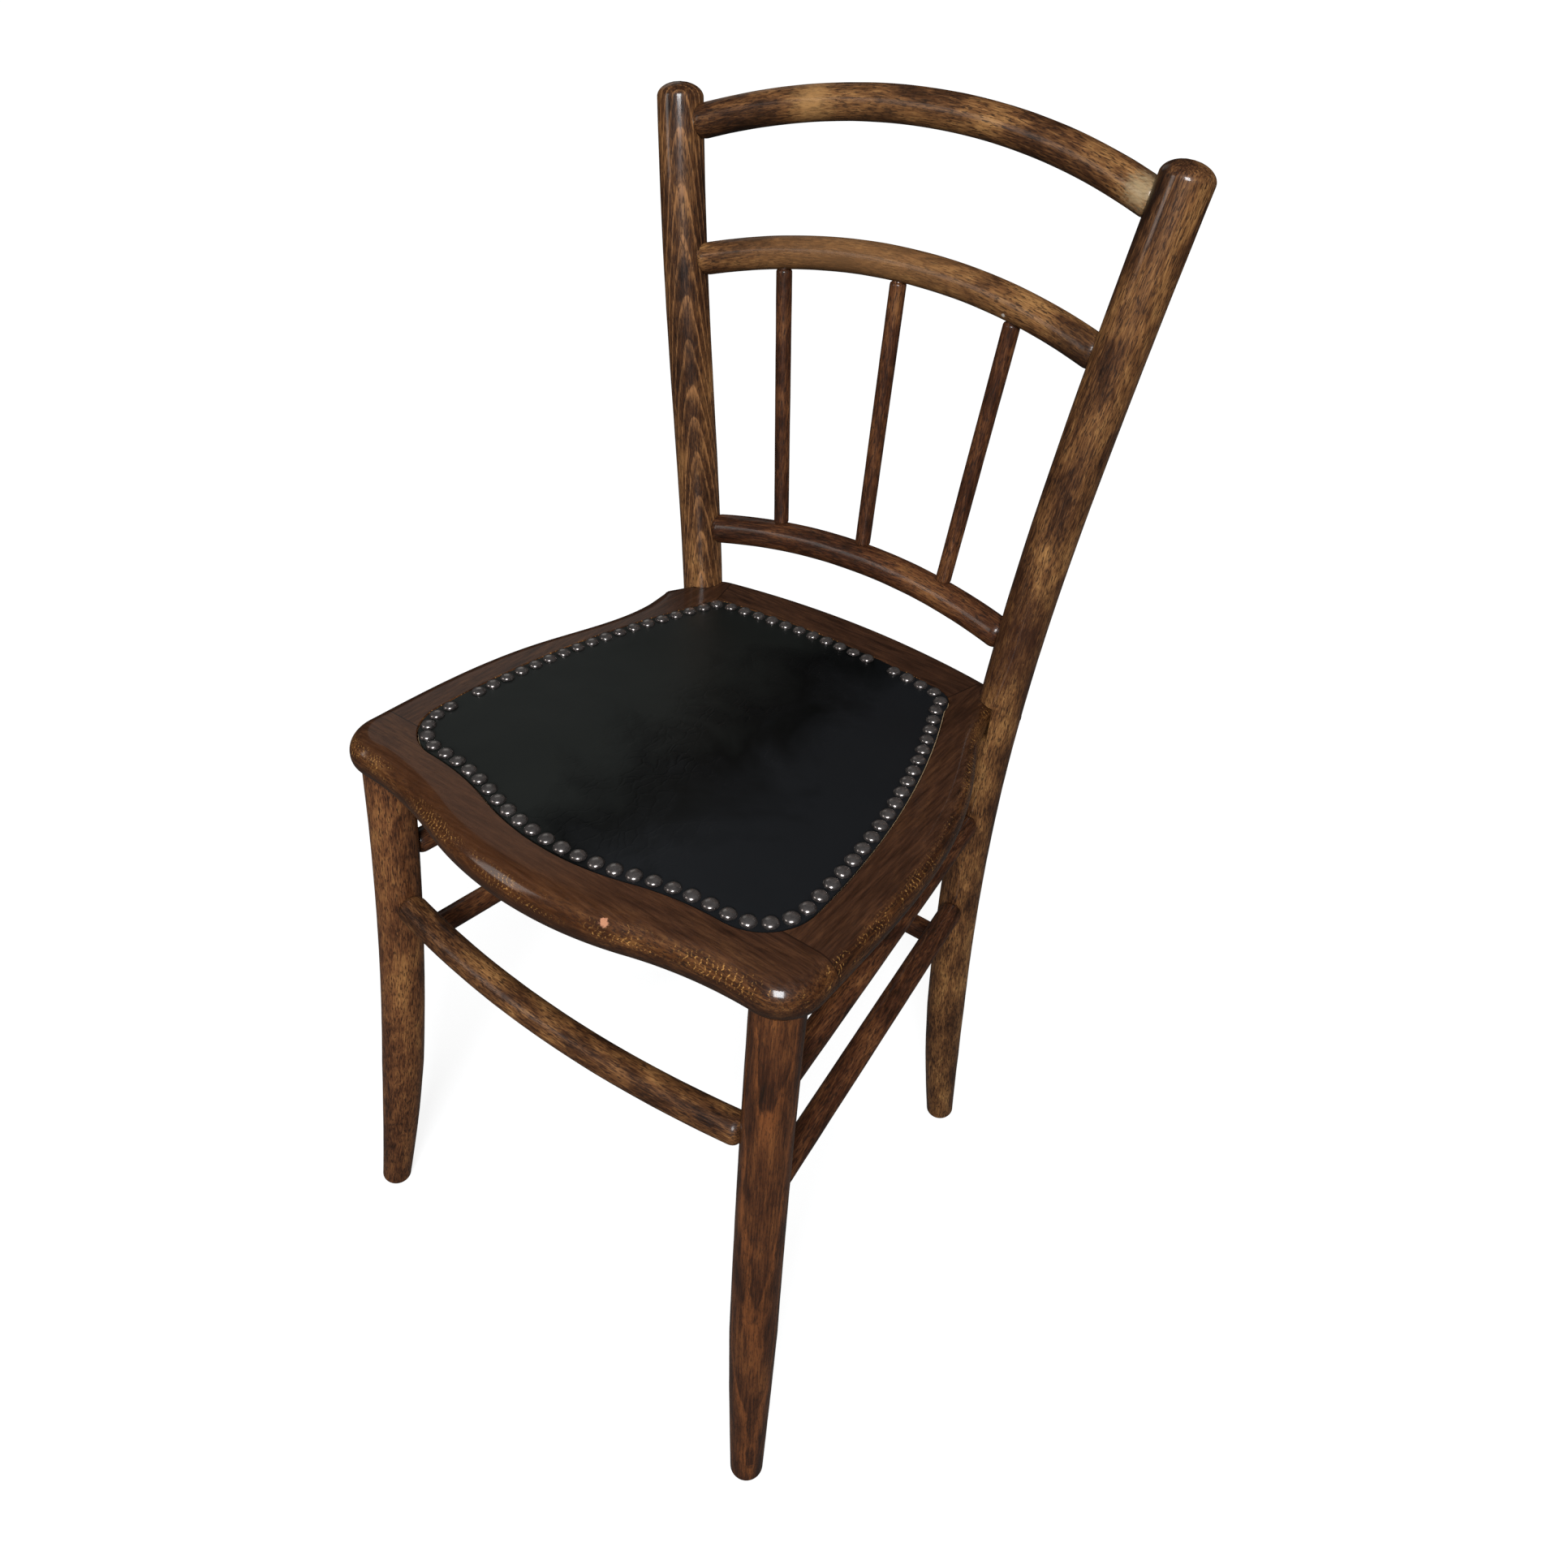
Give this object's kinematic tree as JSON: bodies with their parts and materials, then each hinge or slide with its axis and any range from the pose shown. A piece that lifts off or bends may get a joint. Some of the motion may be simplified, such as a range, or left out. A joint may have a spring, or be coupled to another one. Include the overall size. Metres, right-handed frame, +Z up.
{
  "type": "bistro chair",
  "caption": "Stained beech bistro chair with round posts, bent back rails, thin spindles, a bow-fronted seat frame, stretchers between the legs and a nailed black leather seat panel.",
  "frame": {"origin": "on the floor, below the middle of the chair's bounding box", "axes": "+X to the right as seen from the front, +Y to the back, +Z up"},
  "size_m": [0.4124, 0.4132, 0.8275],
  "materials": {
    "post_wood": "satin dark walnut stain on beech",
    "rail_wood": "satin dark walnut stain on beech",
    "seat_wood": "satin dark walnut stain on beech",
    "plain_wood": "bare wood",
    "felt": "pressed felt",
    "seat_leather": "satin black, finely creased",
    "nail_metal": "antique nickel",
    "screw_metal": "dull steel"
  },
  "bodies": {
    "root": {"rear_post_right": "post_wood", "rear_post_left": "post_wood", "front_leg_right": "post_wood", "front_leg_left": "post_wood", "crest_rail": "rail_wood", "upper_back_rail": "rail_wood", "lower_back_rail": "rail_wood", "back_spindle_left": "rail_wood", "back_spindle_centre": "rail_wood", "back_spindle_right": "rail_wood", "front_stretcher": "rail_wood", "rear_stretcher": "rail_wood", "side_stretcher_upper_right": "rail_wood", "side_stretcher_upper_left": "rail_wood", "side_stretcher_lower_right": "rail_wood", "side_stretcher_lower_left": "rail_wood", "seat_front_rail": "seat_wood", "seat_side_rail_right": "seat_wood", "seat_side_rail_left": "seat_wood", "seat_back_rail": "seat_wood", "seat_frame_dowels": "plain_wood", "post_screws": "screw_metal", "seat_board": "plain_wood", "seat_pad": "felt", "seat_leather": "seat_leather", "upholstery_nails": "nail_metal"}
  },
  "joints": []
}
